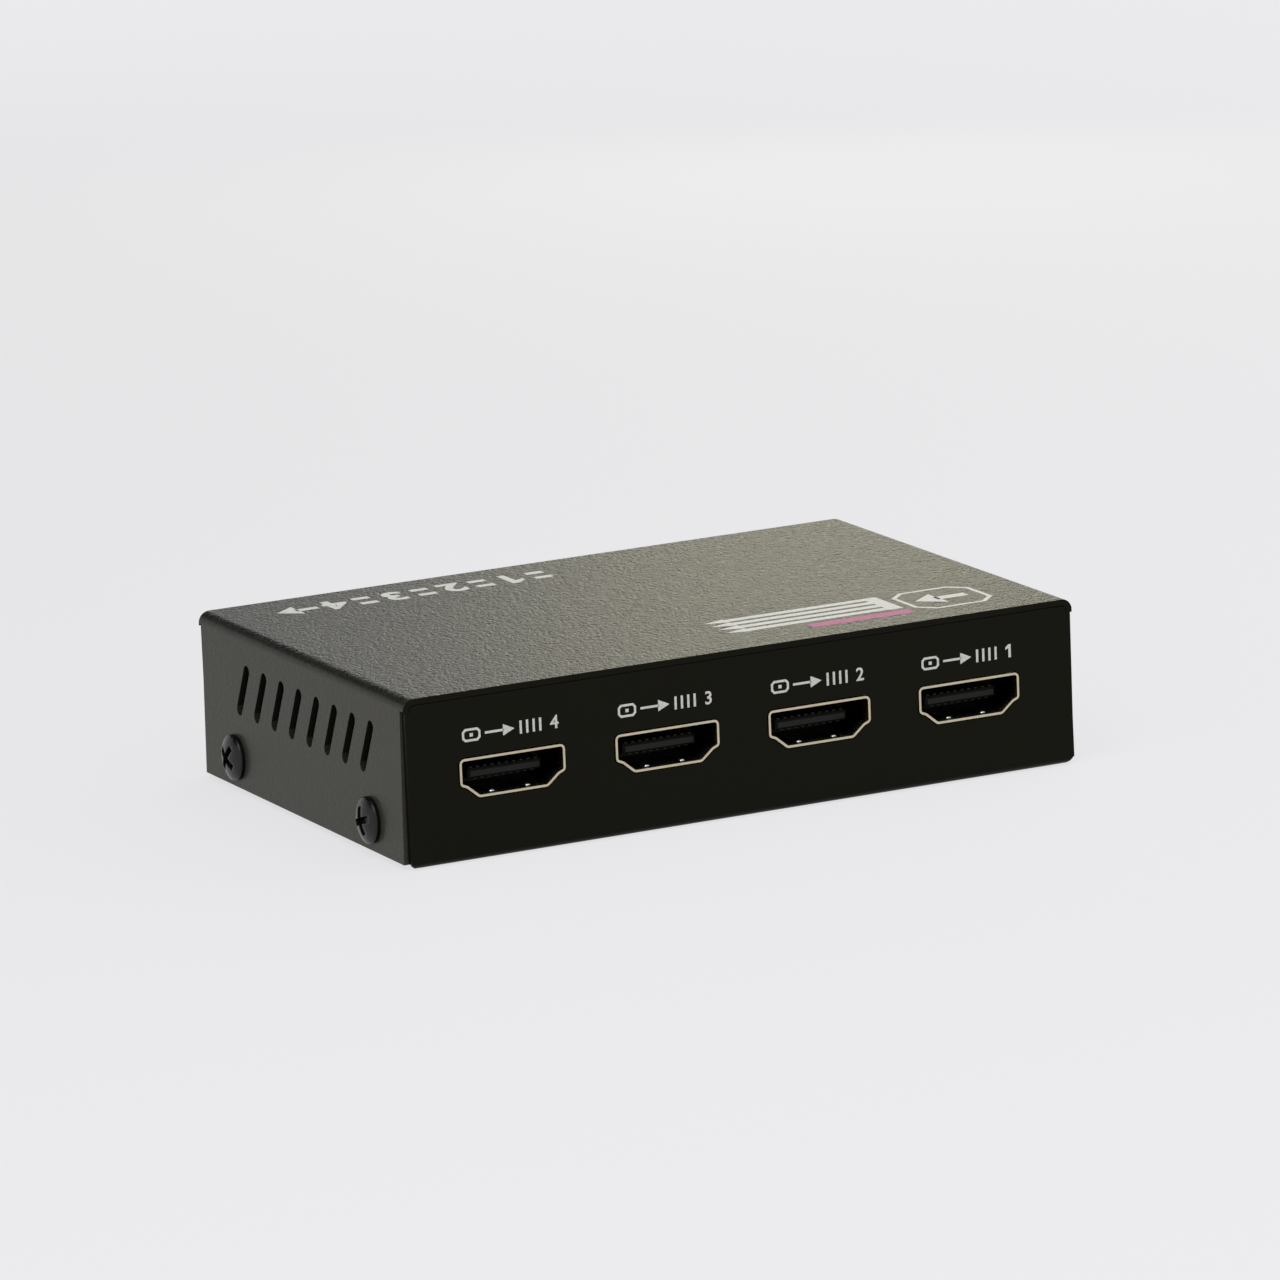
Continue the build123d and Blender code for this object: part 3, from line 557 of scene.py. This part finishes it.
def finger_dimples():
    """The small formed dimples near the tips of the sockets' spring fingers."""
    rings = ((0.38, 0.03), (0.3, 0.17), (0.14, 0.23))  # radius and rise of each ring
    peak, stretch, steps = 0.25, 1.25, 12
    finger_x, tip_y = 2.5, 29.35  # from the socket's middle, from the middle of the case
    points, faces = [], []
    for name in SOCKETS:
        low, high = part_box(f"{name}_socket_shell")
        end = 1 if name == "input" else -1
        middle = (low.x + high.x) / 2 / MM
        for x in (middle - finger_x, middle + finger_x):
            for z, up in ((MOUTH_FLOOR, 1), (MOUTH_FLOOR + MOUTH_HEIGHT, -1)):
                base = len(points)
                for radius, rise in rings:
                    for k in range(steps):
                        a = math.tau * k / steps
                        points.append((x + stretch * radius * math.cos(a),
                                       end * (tip_y + radius * math.sin(a)), z + up * rise))
                points.append((x, end * tip_y, z + up * peak))
                for first in (base, base + steps):
                    for k in range(steps):
                        n = (k + 1) % steps
                        faces.append([first + k, first + n, first + steps + n, first + steps + k])
                last, tip = base + 2 * steps, base + 3 * steps
                faces += [[last + k, last + (k + 1) % steps, tip] for k in range(steps)]
    made = add("socket_finger_dimples", points, faces, looks["jack_metal"])
    for polygon in made.data.polygons:
        polygon.use_smooth = True


finger_dimples()


# Floor, light and camera


def directly_seen(tree):
    """One on camera, glossy and transmission rays, zero on rays that only carry light."""
    path = tree.nodes.new("ShaderNodeLightPath").outputs
    seen = path["Is Camera Ray"]
    for ray in ("Is Glossy Ray", "Is Transmission Ray"):
        larger = tree.nodes.new("ShaderNodeMath")
        larger.operation = "MAXIMUM"
        tree.links.new(seen, larger.inputs[0])
        tree.links.new(path[ray], larger.inputs[1])
        seen = larger.outputs[0]
    return seen


def studio_floor():
    """A floor that glows in the backdrop's grey where it's seen, so that its edge doesn't show."""
    reach, level, glow = 4000, -0.05, 0.85
    look = Surface("floor_look", (0.17, 0.17, 0.174), 0.9, specular=0.0)
    look.vary(400.0, 0.003, 0.02)
    look.set("Emission Color", BACKDROP)
    look.set("Emission Strength", look.math("MULTIPLY", directly_seen(look.tree), glow))
    corners = [(-reach, -reach, level), (reach, -reach, level),
               (reach, reach, level), (-reach, reach, level)]
    floor = add("floor", corners, [[0, 1, 2, 3]], look.material, body=None)


def dark_card(azimuth, elevation, distance, half_width, half_height):
    """A black studio card that darkens reflections and shades, but isn't in the camera's own view.

    The angles are in degrees, from +Y towards +X and up, the rest in millimetres.
    """
    a, e = math.radians(azimuth), math.radians(elevation)
    out = Vector((math.sin(a) * math.cos(e), math.cos(a) * math.cos(e), math.sin(e)))
    along = Vector((math.cos(a), -math.sin(a), 0))
    rise = along.cross(out)
    corners = [out * distance + along * x * half_width + rise * y * half_height
               for x, y in ((-1, -1), (1, -1), (1, 1), (-1, 1))]
    look = Surface("dark_card", (0.004, 0.004, 0.004), 0.9, specular=0.0)
    mixed = look.node("ShaderNodeMixShader")
    look.feed(look.node("ShaderNodeLightPath").outputs["Is Camera Ray"], mixed.inputs[0])
    look.feed(look.shader.outputs[0], mixed.inputs[1])
    look.feed(look.node("ShaderNodeBsdfTransparent").outputs[0], mixed.inputs[2])
    end = next(n for n in look.tree.nodes if n.type == "OUTPUT_MATERIAL")
    look.feed(mixed.outputs[0], end.inputs["Surface"])
    add("dark_card", corners, [[0, 1, 2, 3]], look.material, body=None)


def studio_world():
    """The backdrop's grey where the world is seen, and white light from all around."""
    world = bpy.data.worlds.new("studio")
    scene.world = world
    world.use_nodes = True
    tree = world.node_tree
    tree.nodes.clear()

    def background(color, strength):
        made = tree.nodes.new("ShaderNodeBackground")
        made.inputs["Color"].default_value = (*color, 1.0)
        made.inputs["Strength"].default_value = strength
        return made.outputs[0]

    mix = tree.nodes.new("ShaderNodeMixShader")
    out = tree.nodes.new("ShaderNodeOutputWorld")
    tree.links.new(directly_seen(tree), mix.inputs[0])
    tree.links.new(background((1.0, 1.0, 1.0), 0.86), mix.inputs[1])
    tree.links.new(background(BACKDROP, 1.0), mix.inputs[2])
    tree.links.new(mix.outputs[0], out.inputs[0])


def area(name, place, target, size, power, color):
    """A square light; metres and watts."""
    data = bpy.data.lights.new(name, "AREA")
    data.shape = "SQUARE"
    data.size = size
    data.energy = power
    data.color = color
    made = bpy.data.objects.new(name, data)
    made.location = place
    made.rotation_mode = "QUATERNION"
    made.rotation_quaternion = (Vector(target) - Vector(place)).to_track_quat("-Z", "Y")
    scene.collection.objects.link(made)


def photo_camera():
    """The camera that was fitted to the photo's edges: degrees, millimetres and pixels."""
    azimuth, elevation, roll = (math.radians(v) for v in (-26.689, 12.882, -2.246))
    distance, shift_x, shift_z = 1092.224, 0.139, 16.732
    focal_px, photo_px, sensor = 8453.419, 1280, 36.0
    back = Vector((
        math.sin(azimuth) * math.cos(elevation),
        -math.cos(azimuth) * math.cos(elevation),
        math.sin(elevation),
    ))
    level = (-back).cross(Vector((0, 0, 1))).normalized()
    rise = level.cross(-back)
    right = level * math.cos(roll) + rise * math.sin(roll)
    up = rise * math.cos(roll) - level * math.sin(roll)
    eye = (back * distance + right * shift_x + up * shift_z) * MM
    lens = bpy.data.cameras.new("camera")
    lens.sensor_width = sensor
    lens.lens = focal_px / photo_px * sensor
    lens.clip_start = 0.05
    lens.clip_end = 50.0
    camera = bpy.data.objects.new("camera", lens)
    camera.matrix_world = Matrix((
        (right.x, up.x, back.x, eye.x),
        (right.y, up.y, back.y, eye.y),
        (right.z, up.z, back.z, eye.z),
        (0, 0, 0, 1),
    ))
    scene.collection.objects.link(camera)
    scene.camera = camera


studio_floor()
dark_card(azimuth=-30, elevation=48, distance=450, half_width=400, half_height=265)
studio_world()
area("key_light", (-0.5, -0.5, 1.1), (0, 0, 0), size=0.7, power=3.0, color=(1.0, 0.99, 0.96))
area("back_light", (0.255, 0.41, 0.117), (0, 0.01, 0.02),
     size=0.12, power=0.078, color=(1.0, 0.93, 0.56))
photo_camera()
scene.view_settings.view_transform = "Standard"
